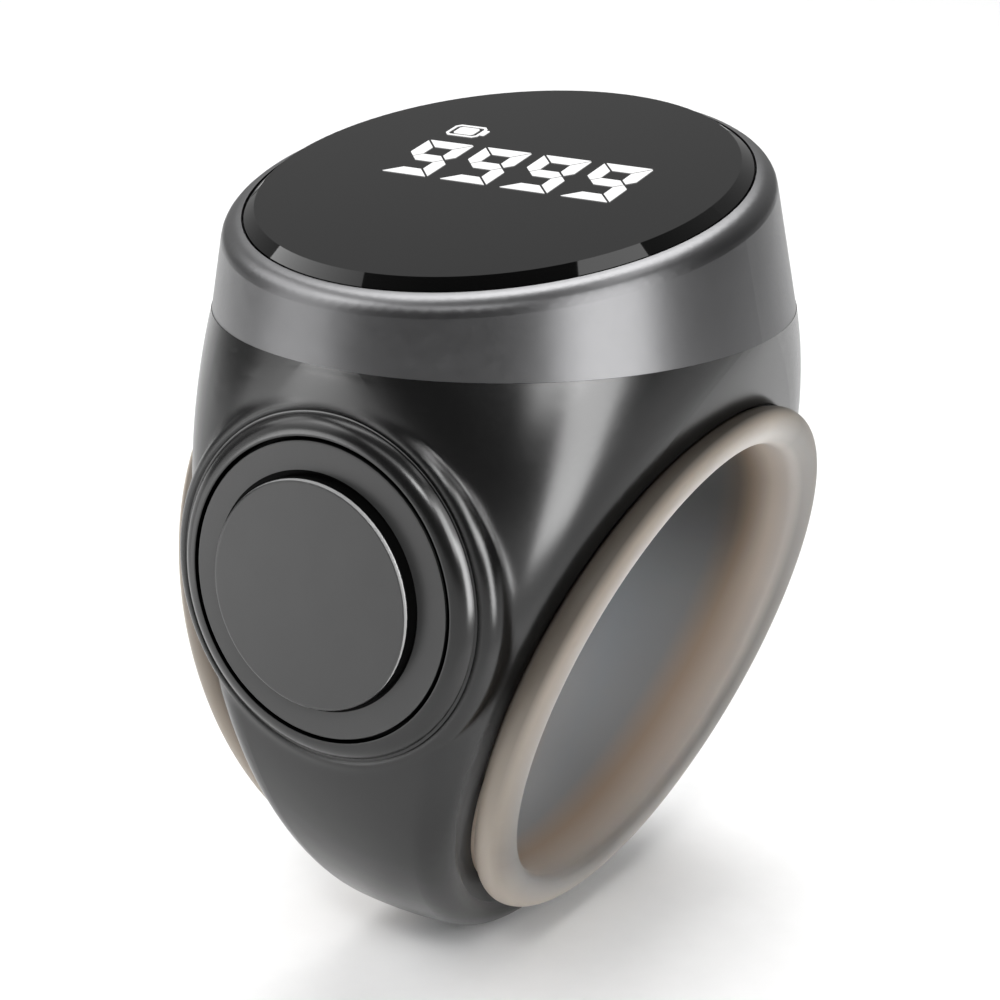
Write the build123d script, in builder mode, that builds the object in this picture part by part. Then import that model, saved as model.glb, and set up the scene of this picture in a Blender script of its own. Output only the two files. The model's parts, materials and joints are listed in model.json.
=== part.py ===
from build123d import *
import os
from math import asin, atan, cos, degrees, radians, sin, sqrt, tan

# Finger-ring tally counter with a lit four-digit display and one large push button.
# Millimetres and degrees. Origin at the centre of the finger bore, +X along the finger,
# the button on the -Y side and the display on top.

os.makedirs("parts", exist_ok=True)

# Clearances and cuts
overrun = 2.0
fit_gap = 0.05
slide_gap = 0.1

# Finger bore and its silicone liner
bore_radius = 10.0
liner_wall = 0.9
lip_bead_radius = 0.84
lip_inset = 0.05
lip_proud = 0.26

# Body shell: a band round the bore that grows upwards into a round head
band_wall = 2.35
band_half_width = 7.3
band_corner = 2.2
bottom_corner = 0.9
head_radius = 12.33
head_lift = 1.63
head_offset = -0.09
corner_relief = 0.08
bore_wall = 0.8
shell_wall = 1.2
cavity_step = 0.23
cavity_floor = 7.5
front_sweep = 6.0
side_sweep = 6.0
corner_growth_power = 2.2
head_level_shares = (0.0, 0.25, 0.5, 0.75, 1.0)
band_angles = (180, 210, 240, 270, 300, 330, 360)

# Display plane, tilted towards the button side
display_rise = 5.02
display_shift = -0.49
display_tilt = 10.87

# Lens and its bonding ring
lens_radius = 10.65
lens_rise = 0.39
lens_chamfer = 0.49
lens_depth = 0.85
adhesive_thickness = 0.1
adhesive_width = 1.3

# Bezel ring
rim_width = 0.85
bezel_edge_radius = 1.0
ledge_thickness = 1.0
ledge_width = 2.25
spigot_depth = 1.9
spigot_wall = 0.95
seal_cord_radius = 0.25
seal_groove_height = 0.6
seal_groove_depth = 0.5

# Display stack under the lens
stack_clearance = 0.28
stack_gap = 0.05
reflector_flange = 0.5
board_thickness = 0.6
frame_thickness = 1.0
frame_width = 2.25
screw_count = 3
screw_radius = 0.4
screw_head_radius = 0.75
screw_head_height = 0.5
screw_end_wall = 0.2
screw_start_angle = 90.0

# Four seven-segment digits and a charge symbol, as shares of the window's radius
digit_count = 4
digit_width_share = 0.2774
digit_height_share = 0.4369
digit_pitch_share = 0.3524
digit_left_share = -0.6167
digit_bottom_share = -0.1226
stroke_share = 0.0774
segment_gap_share = 0.0119
symbol_x_share = -0.4964
symbol_y_share = 0.481
symbol_length_share = 0.1976
symbol_width_share = 0.1429
symbol_nub_share = 0.0262
diffuser_depth = 0.8
led_length = 0.7
led_width = 0.35
led_height = 0.25

# Components on the back of the display board
chip_gap = 0.246
controller_side = 4.0
controller_height = 0.8
charger_side = 2.6
charger_height = 0.7
charger_gap = 0.494
charger_inset = 2.1
passive_length = 1.0
passive_width = 0.5
passive_height = 0.4
passive_pitch = 1.1
passive_count = 5
passive_gap = 0.3
connector_length = 4.2
connector_width = 1.6
connector_height = 0.8
connector_margin = 0.904

# Battery on its tray
battery_length = 11.0
battery_width = 9.4
battery_headroom = 0.2
battery_corner = 1.0
battery_pad_height = 0.3
tray_floor = 0.35
tray_margin = 0.3

# Coin vibration motor against a wall behind the battery
motor_radius = 3.5
motor_thickness = 2.0
motor_face_y = 7.0
motor_clearance = 0.2
motor_pad_thickness = 0.2
motor_wall = 0.8
motor_wall_rise = 3.4
motor_edge = 0.3

# Two charging contacts in the rear wall
contact_radius = 0.9
contact_x = 3.9
contact_rise = 2.9
contact_tail = 1.1

# Push button on the -Y side
button_standoff = 0.175
button_z = 6.02
button_tilt = 3.1
button_travel = 0.35
landing_gap = 0.1
cap_radius = 6.15
cap_thickness = 0.85
disc_radius = 4.75
disc_rise = 0.68
disc_edge = 0.18
cap_edge = 0.12
flange_width = 0.35
flange_depth = 0.45
stem_radius = 1.4
stem_length = 0.3
collar_width = 0.9
collar_edge = 0.85
mound_width = 0.75
mound_depth = 0.55
mound_edge = 0.7
mound_root = 4.0
gasket_width = 1.15
gasket_thickness = 0.2

# Tactile switch behind the button
plunger_radius = 0.9
plunger_height = 0.45
contact_play = 0.02
switch_length = 3.4
switch_width = 3.0
switch_height = 0.8
flex_thickness = 0.15
flex_width = 3.0
flex_tail = 1.4
flex_rise = 5.6
flex_bend = 1.0

# Worked-out sizes
shell_bore = bore_radius + liner_wall + fit_gap
band_radius = shell_bore + band_wall
cavity_bore = shell_bore + bore_wall
cavity_radius = head_radius - shell_wall - cavity_step
head_height = band_radius + head_lift
head_corner = head_radius - corner_relief
side_slope = (head_radius - band_half_width) / head_height
slant = atan(side_slope)
lip_circle = bore_radius + lip_bead_radius + lip_inset
lip_half_width = band_half_width + lip_proud
display_height = head_height + display_rise
display_offset = head_offset + display_shift
tilt = radians(display_tilt)
seam_radius = lens_radius + slide_gap
bezel_top_radius = lens_radius + rim_width
ledge_radius = lens_radius - ledge_width
ledge_depth = lens_depth + adhesive_thickness
ledge_base = ledge_depth + ledge_thickness
reflector_top = lens_depth + stack_gap
reflector_base = ledge_base + stack_gap + reflector_flange
board_base = reflector_base + board_thickness
frame_base = board_base + frame_thickness
spigot_radius = head_radius - shell_wall - fit_gap
spigot_bore = spigot_radius - spigot_wall
seal_circle = spigot_radius - seal_groove_depth + seal_cord_radius + fit_gap / 2
stack_radius = spigot_bore - stack_clearance
screw_circle = stack_radius - screw_head_radius - fit_gap
digit_width = digit_width_share * ledge_radius
digit_height = digit_height_share * ledge_radius
digit_pitch = digit_pitch_share * ledge_radius
digit_left = digit_left_share * ledge_radius
digit_bottom = digit_bottom_share * ledge_radius
stroke = stroke_share * ledge_radius
segment_gap = segment_gap_share * ledge_radius
symbol_x = symbol_x_share * ledge_radius
symbol_y = symbol_y_share * ledge_radius
symbol_length = symbol_length_share * ledge_radius
symbol_width = symbol_width_share * ledge_radius
symbol_nub = symbol_nub_share * ledge_radius
frame_bore = stack_radius - frame_width
chip_reach = (frame_bore - chip_gap) * sqrt(0.5)
controller_x = controller_side / 2 - chip_reach
controller_y = chip_reach - controller_side / 2
charger_y = frame_bore - charger_inset - charger_side / 2
charger_edge = sqrt((frame_bore - charger_gap) ** 2 - (charger_y + charger_side / 2) ** 2)
charger_x = charger_edge - charger_side / 2
passive_y = controller_y - controller_side / 2 - passive_gap - passive_length / 2
connector_edge = sqrt(frame_bore ** 2 - (connector_length / 2) ** 2) - connector_margin
connector_y = connector_width / 2 - connector_edge
tray_top = cavity_bore + tray_floor
tray_length = battery_length + 2 * tray_margin
tray_width = battery_width + 2 * tray_margin
motor_wall_y = motor_face_y - motor_wall
battery_y = motor_wall_y - tray_width / 2
battery_front = battery_y - battery_width / 2
board_underside = (
    display_height
    + (battery_front - display_offset) * tan(tilt)
    - (board_base + controller_height) / cos(tilt)
)
battery_height = board_underside - battery_headroom - tray_top - battery_pad_height
motor_z = sqrt(cavity_bore ** 2 - motor_face_y ** 2) + motor_radius + motor_clearance
contact_z = cavity_floor + contact_rise
contact_tail_y = head_offset + sqrt(cavity_radius ** 2 - contact_x ** 2) - contact_tail
button_y = -band_radius - button_standoff
collar_bore = cap_radius + slide_gap
collar_radius = collar_bore + collar_width
mound_radius = collar_radius + mound_width
pocket_radius = collar_radius + fit_gap
pocket_depth = cap_thickness + button_travel + landing_gap + gasket_thickness
flange_radius = cap_radius + flange_width
stem_end = cap_thickness + stem_length
plunger_top = stem_end + contact_play
switch_top = stem_end + button_travel + landing_gap
plunger_base = plunger_top + plunger_height
switch_hole_depth = plunger_base + button_travel + fit_gap - switch_top
switch_base = switch_top + switch_height
switch_floor = switch_base + flex_thickness
reach = head_radius + band_radius

# Working planes
display_plane = Plane(
    origin=(0, display_offset, display_height), x_dir=(1, 0, 0), z_dir=(0, -sin(tilt), cos(tilt))
)
button_lean = radians(button_tilt)
button_plane = Plane(
    origin=(0, button_y, button_z), x_dir=(1, 0, 0), z_dir=(0, -cos(button_lean), sin(button_lean))
)
rim_plane = Plane(origin=(0, head_offset, head_height))
lip_plane = Plane(origin=(lip_half_width, 0, 0), x_dir=(0, 1, 0), z_dir=(cos(slant), 0, -sin(slant)))


def under_display(depth):
    """Plane parallel to the lens, this far below the seam round it."""
    return display_plane.offset(-depth)


def behind_button(depth):
    """Plane parallel to the button's face, this far behind it."""
    return button_plane.offset(-depth)


def oval_radii(half_width, half_depth, corner):
    """Front and side radii that join corner arcs smoothly into one oval."""
    a, b = radians(front_sweep), radians(side_sweep)
    across = half_width + corner * (sin(a) - cos(b))
    along = half_depth + corner * (sin(b) - cos(a))
    det = sin(a) * sin(b) - (1 - cos(b)) * (1 - cos(a))
    front = (across * sin(b) - along * (1 - cos(b))) / det
    side = (along * sin(a) - across * (1 - cos(a))) / det
    return front, side


def arc_from(center, radius, start, end):
    """Arc given by its centre and the directions, in degrees, of its two ends."""
    middle = (start + end) / 2
    spots = []
    for angle in (start, middle, end):
        turn = radians(angle)
        spots.append((center[0] + radius * cos(turn), center[1] + radius * sin(turn)))
    return ThreePointArc(*spots)


def head_outline(half_width, half_depth, corner):
    """Closed oval of eight arcs, for a level of the head."""
    front, side = oval_radii(half_width, half_depth, corner)
    a, b = front_sweep, side_sweep
    x = half_width - side + (side - corner) * cos(radians(b))
    y = (side - corner) * sin(radians(b))
    arc_from((0, front - half_depth), front, -90 - a, -90 + a)
    arc_from((x, -y), corner, -90 + a, -b)
    arc_from((half_width - side, 0), side, -b, b)
    arc_from((x, y), corner, b, 90 - a)
    arc_from((0, half_depth - front), front, 90 - a, 90 + a)
    arc_from((-x, y), corner, 90 + a, 180 - b)
    arc_from((side - half_width, 0), side, 180 - b, 180 + b)
    arc_from((-x, -y), corner, 180 + b, 270 - a)


def band_outline(half_width, half_depth, corner):
    """Outer half of the same oval, closed by a chord inside the bore."""
    front, side = oval_radii(half_width, half_depth, corner)
    a, b = front_sweep, side_sweep
    x = half_width - side + (side - corner) * cos(radians(b))
    y = (side - corner) * sin(radians(b))
    inner = degrees(asin(bore_radius / side))
    right = arc_from((half_width - side, 0), side, inner, b)
    arc_from((x, y), corner, b, 90 - a)
    arc_from((0, half_depth - front), front, 90 - a, 90 + a)
    arc_from((-x, y), corner, 90 + a, 180 - b)
    left = arc_from((side - half_width, 0), side, 180 - b, 180 - inner)
    Line(left @ 1, right @ 0)


def wedge_outline(half_width, slope, low, high):
    """Upright trapezium that widens with height, drawn in X and Z."""
    Polyline(
        (-half_width - slope * low, low),
        (half_width + slope * low, low),
        (half_width + slope * high, high),
        (-half_width - slope * high, high),
        close=True,
    )


def digit_corners():
    """Corner lists of the seven segments of one digit, from its lower left corner."""
    w, h, t = digit_width, digit_height, stroke
    g = segment_gap * sqrt(0.5)
    m = h / 2
    top = [(g, h), (w - g, h), (w - t - g, h - t), (t + g, h - t)]
    upper_left = [(0, h - g), (t, h - t - g), (t, m + t / 2 + g), (t / 2, m + g), (0, m + t / 2 + g)]
    middle = [
        (t / 2 + g, m), (t + g, m + t / 2), (w - t - g, m + t / 2),
        (w - t / 2 - g, m), (w - t - g, m - t / 2), (t + g, m - t / 2),
    ]
    upper_right = [(w - x, y) for x, y in upper_left]
    lower_left = [(x, h - y) for x, y in upper_left]
    lower_right = [(w - x, h - y) for x, y in upper_left]
    bottom = [(x, h - y) for x, y in top]
    return [top, upper_left, upper_right, middle, lower_left, lower_right, bottom]


def lit_shapes(grow):
    """Every segment and the charge symbol, drawn larger all round by this much."""
    for digit in range(digit_count):
        with Locations((digit_left + digit * digit_pitch, digit_bottom)):
            for corners in digit_corners():
                Polygon(*corners, align=None)
    with Locations((symbol_x, symbol_y)):
        Rectangle(symbol_length, symbol_width)
    with Locations((symbol_x + symbol_length / 2 + symbol_nub / 2, symbol_y)):
        Rectangle(symbol_nub, symbol_width / 2)
    if grow:
        offset(amount=grow, kind=Kind.INTERSECTION)


# Outer form of the body: lofted head, lofted band, and the mound that carries the button
with BuildPart() as outer_form:
    for share in head_level_shares:
        level = share * head_height
        growth = share ** corner_growth_power
        with BuildSketch(Plane(origin=(0, share * head_offset, level))):
            with BuildLine():
                head_outline(
                    band_half_width + side_slope * level,
                    band_radius + (head_radius - band_radius) * share,
                    band_corner + (head_corner - band_corner) * growth,
                )
            make_face()
    loft()
    for angle in band_angles:
        lean = radians(angle)
        with BuildSketch(Plane(origin=(0, 0, 0), x_dir=(1, 0, 0), z_dir=(0, -sin(lean), cos(lean)))):
            with BuildLine():
                band_outline(
                    band_half_width + side_slope * band_radius * sin(lean),
                    band_radius,
                    band_corner + (band_corner - bottom_corner) * sin(lean),
                )
            make_face()
    loft()

with BuildPart() as mound:
    with BuildSketch(behind_button(mound_root)):
        Circle(mound_radius)
    extrude(amount=mound_root - mound_depth)
    fillet(mound.faces().filter_by(button_plane).sort_by(Axis.Y)[0].edges(), mound_edge)

# Space inside the head, with a battery tray and a motor wall left standing
with BuildPart() as head_space:
    with BuildSketch(Plane.XZ):
        with BuildLine():
            wedge_outline(band_half_width - shell_wall, side_slope, cavity_floor, head_height + overrun)
        make_face()
    extrude(amount=reach, both=True)
    with BuildSketch(Plane(origin=(0, head_offset, 0))):
        Circle(cavity_radius)
    extrude(amount=reach, mode=Mode.INTERSECT)
    with BuildSketch(Plane.YZ):
        Circle(cavity_bore)
    extrude(amount=reach, both=True, mode=Mode.SUBTRACT)
    with BuildSketch(Plane.XY):
        with Locations((0, battery_y + motor_wall / 2)):
            Rectangle(tray_length, tray_width + motor_wall)
    extrude(amount=tray_top, mode=Mode.SUBTRACT)
    with BuildSketch(Plane.XY):
        with Locations((0, motor_wall_y + motor_wall / 2)):
            Rectangle(2 * motor_radius, motor_wall)
    extrude(amount=tray_top + motor_wall_rise, mode=Mode.SUBTRACT)

# Rounded bead along one lip of the liner, and the same bead with room round it
with BuildPart() as lip_bead:
    with BuildLine(lip_plane) as lip_path:
        EllipticalCenterArc((0, 0), lip_circle, lip_circle / cos(slant), start_angle=0, arc_size=360)
    with BuildSketch(Plane(origin=lip_path.line @ 0, z_dir=lip_path.line % 0)):
        Circle(lip_bead_radius)
    sweep(path=lip_path.line)

with BuildPart() as lip_groove:
    with BuildSketch(Plane(origin=lip_path.line @ 0, z_dir=lip_path.line % 0)):
        Circle(lip_bead_radius + fit_gap)
    sweep(path=lip_path.line)

# Body shell
with BuildPart() as body_shell:
    add(outer_form)
    add(mound)
    add(head_space, mode=Mode.SUBTRACT)
    with BuildSketch(Plane.YZ):
        Circle(shell_bore)
    extrude(amount=reach, both=True, mode=Mode.SUBTRACT)
    add(lip_groove, mode=Mode.SUBTRACT)
    add(lip_groove.part.mirror(Plane.YZ), mode=Mode.SUBTRACT)
    with BuildSketch(rim_plane.offset(-spigot_depth - fit_gap)):
        Circle(spigot_radius + fit_gap)
    extrude(amount=spigot_depth + overrun, mode=Mode.SUBTRACT)
    with BuildSketch(behind_button(pocket_depth)):
        Circle(pocket_radius)
    extrude(amount=pocket_depth + overrun, mode=Mode.SUBTRACT)
    with BuildSketch(behind_button(switch_floor)):
        Rectangle(switch_length + 2 * slide_gap, switch_width + 2 * slide_gap)
        with Locations((0, flex_rise / 2)):
            Rectangle(flex_width + 2 * slide_gap, flex_rise)
    extrude(amount=switch_floor - pocket_depth + fit_gap, mode=Mode.SUBTRACT)
    with BuildSketch(Plane(origin=(0, contact_tail_y, contact_z), x_dir=(1, 0, 0), z_dir=(0, 1, 0))):
        with Locations((-contact_x, 0), (contact_x, 0)):
            Circle(contact_radius + fit_gap)
    extrude(amount=reach, mode=Mode.SUBTRACT)
body_shell.part.label = "body_shell"
export_step(body_shell.part, "parts/body_shell.step")

# Finger liner: thin sleeve with a bead round each end
with BuildPart() as finger_liner:
    with BuildSketch(Plane.XZ):
        with BuildLine():
            wedge_outline(lip_half_width, side_slope, -reach / 2, reach / 2)
        make_face()
    extrude(amount=reach, both=True)
    with BuildSketch(Plane.YZ):
        Circle(bore_radius + liner_wall)
    extrude(amount=reach, both=True, mode=Mode.INTERSECT)
    add(lip_bead)
    add(lip_bead.part.mirror(Plane.YZ))
    with BuildSketch(Plane.YZ):
        Circle(bore_radius)
    extrude(amount=reach, both=True, mode=Mode.SUBTRACT)
finger_liner.part.label = "finger_liner"
export_step(finger_liner.part, "parts/finger_liner.step")

# Bezel: wedge-shaped ring with the lens seat above and a spigot below
with BuildPart() as bezel_space:
    with BuildSketch(rim_plane.offset(-spigot_depth - overrun)):
        Circle(spigot_bore)
    extrude(amount=reach)
    split(bisect_by=under_display(ledge_base), keep=Keep.BOTTOM)

with BuildPart() as top_bezel:
    with BuildSketch(rim_plane):
        Circle(head_radius)
    with BuildSketch(display_plane):
        Circle(bezel_top_radius)
    loft(ruled=True)
    fillet(top_bezel.edges().sort_by(Axis.Z)[-1], bezel_edge_radius)
    with BuildSketch(rim_plane.offset(-spigot_depth)):
        Circle(spigot_radius)
    extrude(amount=spigot_depth)
    add(bezel_space, mode=Mode.SUBTRACT)
    with BuildSketch(under_display(ledge_depth)):
        Circle(seam_radius)
    extrude(amount=ledge_depth + overrun, mode=Mode.SUBTRACT)
    with BuildSketch(under_display(ledge_base + overrun)):
        Circle(ledge_radius)
    extrude(amount=ledge_base + 2 * overrun, mode=Mode.SUBTRACT)
    with BuildSketch(under_display(ledge_base + overrun)):
        with PolarLocations(screw_circle, screw_count, screw_start_angle):
            Circle(screw_radius + fit_gap)
    extrude(amount=overrun + ledge_thickness - screw_end_wall, mode=Mode.SUBTRACT)
    with BuildSketch(rim_plane.offset(-(spigot_depth + seal_groove_height) / 2)):
        Circle(spigot_radius + overrun)
        Circle(spigot_radius - seal_groove_depth, mode=Mode.SUBTRACT)
    extrude(amount=seal_groove_height, mode=Mode.SUBTRACT)
top_bezel.part.label = "top_bezel"
export_step(top_bezel.part, "parts/top_bezel.step")

# Sealing ring in the spigot's groove
with BuildPart() as bezel_seal:
    with BuildSketch(Plane.XZ.offset(-head_offset)):
        with Locations((seal_circle, head_height - spigot_depth / 2)):
            Circle(seal_cord_radius)
    revolve(axis=Axis((0, head_offset, 0), (0, 0, 1)))
bezel_seal.part.label = "bezel_seal"
export_step(bezel_seal.part, "parts/bezel_seal.step")

# Smoked lens with a bevelled rim
with BuildPart() as display_lens:
    with BuildSketch(under_display(lens_depth)):
        Circle(lens_radius)
    extrude(amount=lens_depth + lens_rise)
    lens_side = display_lens.faces().filter_by(GeomType.CYLINDER)[0]
    top_edge = display_lens.faces().sort_by(Axis.Z)[-1].edges()
    chamfer(top_edge, length=lens_rise, length2=lens_chamfer, reference=lens_side)
display_lens.part.label = "display_lens"
export_step(display_lens.part, "parts/display_lens.step")

# Bonding ring between the lens and its seat
with BuildPart() as lens_adhesive:
    with BuildSketch(under_display(ledge_depth)):
        Circle(lens_radius - slide_gap)
        Circle(lens_radius - slide_gap - adhesive_width, mode=Mode.SUBTRACT)
    extrude(amount=adhesive_thickness)
lens_adhesive.part.label = "lens_adhesive"
export_step(lens_adhesive.part, "parts/lens_adhesive.step")

# Reflector with a light well under every segment
with BuildPart() as digit_reflector:
    with BuildSketch(under_display(reflector_base)):
        Circle(stack_radius)
        with PolarLocations(screw_circle, screw_count, screw_start_angle):
            Circle(screw_radius + slide_gap, mode=Mode.SUBTRACT)
    extrude(amount=reflector_flange)
    with BuildSketch(under_display(reflector_base)):
        Circle(ledge_radius - slide_gap)
    extrude(amount=reflector_base - reflector_top)
    with BuildSketch(under_display(reflector_base)):
        lit_shapes(0)
    extrude(amount=reflector_base, mode=Mode.SUBTRACT)
digit_reflector.part.label = "digit_reflector"
export_step(digit_reflector.part, "parts/digit_reflector.step")

# Milky diffuser in each light well
with BuildPart() as segment_diffusers:
    with BuildSketch(under_display(reflector_top + diffuser_depth)):
        lit_shapes(-fit_gap / 2)
    extrude(amount=diffuser_depth)
segment_diffusers.part.label = "segment_diffusers"
export_step(segment_diffusers.part, "parts/segment_diffusers.step")

# Display board behind the reflector
with BuildPart() as display_board:
    with BuildSketch(under_display(board_base)):
        Circle(stack_radius)
        with PolarLocations(screw_circle, screw_count, screw_start_angle):
            Circle(screw_radius + slide_gap, mode=Mode.SUBTRACT)
    extrude(amount=board_thickness)
display_board.part.label = "display_board"
export_step(display_board.part, "parts/display_board.step")

# One light-emitting chip at the foot of each well
with BuildPart() as led_chips:
    with BuildSketch(under_display(reflector_base)):
        middle_x = digit_width / 2
        middle_y = digit_height / 2
        side_x = middle_x - stroke / 2
        side_y = middle_y / 2
        flat_spots = [(0, middle_y - stroke / 2), (0, 0), (0, stroke / 2 - middle_y)]
        tall_spots = [(-side_x, side_y), (side_x, side_y), (-side_x, -side_y), (side_x, -side_y)]
        for digit in range(digit_count):
            center = (digit_left + digit * digit_pitch + middle_x, digit_bottom + middle_y)
            with Locations(*[(center[0] + x, center[1] + y) for x, y in flat_spots]):
                Rectangle(led_length, led_width)
            with Locations(*[(center[0] + x, center[1] + y) for x, y in tall_spots]):
                Rectangle(led_width, led_length)
        with Locations((symbol_x, symbol_y)):
            Rectangle(led_length, led_width)
    extrude(amount=led_height)
led_chips.part.label = "led_chips"
export_step(led_chips.part, "parts/led_chips.step")

# Ring that clamps the board and reflector up against the bezel
with BuildPart() as board_frame:
    with BuildSketch(under_display(frame_base)):
        Circle(stack_radius)
        Circle(frame_bore, mode=Mode.SUBTRACT)
    extrude(amount=frame_thickness)
    with BuildSketch(under_display(frame_base)):
        with PolarLocations(screw_circle, screw_count, screw_start_angle):
            Circle(screw_radius + slide_gap)
    extrude(amount=frame_thickness, mode=Mode.SUBTRACT)
    with BuildSketch(under_display(frame_base)):
        with PolarLocations(screw_circle, screw_count, screw_start_angle):
            Circle(screw_head_radius + fit_gap / 2)
    extrude(amount=screw_head_height, mode=Mode.SUBTRACT)
board_frame.part.label = "board_frame"
export_step(board_frame.part, "parts/board_frame.step")

# Screws that hold the stack to the bezel
with BuildPart() as frame_screws:
    with BuildSketch(under_display(frame_base)):
        with PolarLocations(screw_circle, screw_count, screw_start_angle):
            Circle(screw_head_radius)
    extrude(amount=screw_head_height)
    with BuildSketch(under_display(frame_base)):
        with PolarLocations(screw_circle, screw_count, screw_start_angle):
            Circle(screw_radius)
    extrude(amount=frame_base - ledge_depth - screw_end_wall - fit_gap)
frame_screws.part.label = "frame_screws"
export_step(frame_screws.part, "parts/frame_screws.step")

# Counting chip
with BuildPart() as controller_chip:
    with BuildSketch(under_display(board_base + controller_height)):
        with Locations((controller_x, controller_y)):
            Rectangle(controller_side, controller_side)
    extrude(amount=controller_height)
controller_chip.part.label = "controller_chip"
export_step(controller_chip.part, "parts/controller_chip.step")

# Charging chip
with BuildPart() as charger_chip:
    with BuildSketch(under_display(board_base + charger_height)):
        with Locations((charger_x, charger_y)):
            Rectangle(charger_side, charger_side)
    extrude(amount=charger_height)
charger_chip.part.label = "charger_chip"
export_step(charger_chip.part, "parts/charger_chip.step")

# Row of small resistors and capacitors
with BuildPart() as board_passives:
    with BuildSketch(under_display(board_base + passive_height)):
        with Locations((0, passive_y)):
            with GridLocations(passive_pitch, passive_length, passive_count, 1):
                Rectangle(passive_width, passive_length)
    extrude(amount=passive_height)
board_passives.part.label = "board_passives"
export_step(board_passives.part, "parts/board_passives.step")

# Socket for the switch's flexible circuit
with BuildPart() as flex_connector:
    with BuildSketch(under_display(board_base + connector_height)):
        with Locations((0, connector_y)):
            Rectangle(connector_length, connector_width)
    extrude(amount=connector_height)
flex_connector.part.label = "flex_connector"
export_step(flex_connector.part, "parts/flex_connector.step")

# Foam pad and pouch battery on the tray
with BuildPart() as battery_pad:
    with BuildSketch(Plane.XY.offset(tray_top)):
        with Locations((0, battery_y)):
            Rectangle(battery_length, battery_width)
    extrude(amount=battery_pad_height)
battery_pad.part.label = "battery_pad"
export_step(battery_pad.part, "parts/battery_pad.step")

with BuildPart() as battery:
    with BuildSketch(Plane.XY.offset(tray_top + battery_pad_height)):
        with Locations((0, battery_y)):
            RectangleRounded(battery_length, battery_width, battery_corner)
    extrude(amount=battery_height)
battery.part.label = "battery"
export_step(battery.part, "parts/battery.step")

# Coin vibration motor on its adhesive pad
motor_plane = Plane(origin=(0, motor_face_y, motor_z), x_dir=(1, 0, 0), z_dir=(0, 1, 0))
with BuildPart() as motor_pad:
    with BuildSketch(motor_plane):
        Circle(motor_radius - motor_edge)
    extrude(amount=motor_pad_thickness)
motor_pad.part.label = "motor_pad"
export_step(motor_pad.part, "parts/motor_pad.step")

with BuildPart() as vibration_motor:
    with BuildSketch(motor_plane.offset(motor_pad_thickness)):
        Circle(motor_radius)
    extrude(amount=motor_thickness)
    fillet(vibration_motor.faces().sort_by(Axis.Y)[-1].edges(), motor_edge)
vibration_motor.part.label = "vibration_motor"
export_step(vibration_motor.part, "parts/vibration_motor.step")

# Charging contacts, flush with the rear of the body
with BuildPart() as charge_contacts:
    with BuildSketch(Plane(origin=(0, contact_tail_y, contact_z), x_dir=(1, 0, 0), z_dir=(0, 1, 0))):
        with Locations((-contact_x, 0), (contact_x, 0)):
            Circle(contact_radius)
    extrude(amount=reach)
    add(outer_form, mode=Mode.INTERSECT)
charge_contacts.part.label = "charge_contacts"
export_step(charge_contacts.part, "parts/charge_contacts.step")

# Button cap: flanged plate with a raised disc in front and a stem behind
with BuildPart() as button_cap:
    with BuildSketch(behind_button(cap_thickness)):
        Circle(cap_radius)
    extrude(amount=cap_thickness)
    fillet(button_cap.faces().sort_by(Axis.Y)[0].edges(), cap_edge)
    with BuildSketch(behind_button(cap_thickness)):
        Circle(disc_radius)
    extrude(amount=cap_thickness + disc_rise)
    fillet(button_cap.faces().sort_by(Axis.Y)[0].edges(), disc_edge)
    with BuildSketch(behind_button(cap_thickness)):
        Circle(flange_radius)
    extrude(amount=cap_thickness - flange_depth)
    with BuildSketch(behind_button(stem_end)):
        Circle(stem_radius)
    extrude(amount=stem_length)
button_cap.part.label = "button_cap"
export_step(button_cap.part, "parts/button_cap.step")

# Collar that keeps the cap in its pocket
with BuildPart() as button_collar:
    with BuildSketch(behind_button(pocket_depth)):
        Circle(collar_radius)
    extrude(amount=pocket_depth)
    fillet(button_collar.faces().sort_by(Axis.Y)[0].edges(), collar_edge)
    with BuildSketch(behind_button(pocket_depth)):
        Circle(collar_bore)
    extrude(amount=pocket_depth + overrun, mode=Mode.SUBTRACT)
    with BuildSketch(behind_button(pocket_depth)):
        Circle(flange_radius + fit_gap)
    extrude(amount=pocket_depth - flange_depth + fit_gap, mode=Mode.SUBTRACT)
button_collar.part.label = "button_collar"
export_step(button_collar.part, "parts/button_collar.step")

# Soft ring that the pressed flange stops above
with BuildPart() as button_gasket:
    with BuildSketch(behind_button(pocket_depth)):
        Circle(flange_radius)
        Circle(flange_radius - gasket_width, mode=Mode.SUBTRACT)
    extrude(amount=gasket_thickness)
button_gasket.part.label = "button_gasket"
export_step(button_gasket.part, "parts/button_gasket.step")

# Tactile switch: body, moving plunger and the flexible circuit that carries it
with BuildPart() as switch_body:
    with BuildSketch(behind_button(switch_base)):
        Rectangle(switch_length, switch_width)
    extrude(amount=switch_height)
    with BuildSketch(behind_button(switch_top + switch_hole_depth)):
        Circle(plunger_radius + slide_gap)
    extrude(amount=switch_hole_depth, mode=Mode.SUBTRACT)
switch_body.part.label = "switch_body"
export_step(switch_body.part, "parts/switch_body.step")

with BuildPart() as switch_plunger:
    with BuildSketch(behind_button(plunger_base)):
        Circle(plunger_radius)
    extrude(amount=plunger_height)
switch_plunger.part.label = "switch_plunger"
export_step(switch_plunger.part, "parts/switch_plunger.step")

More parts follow.
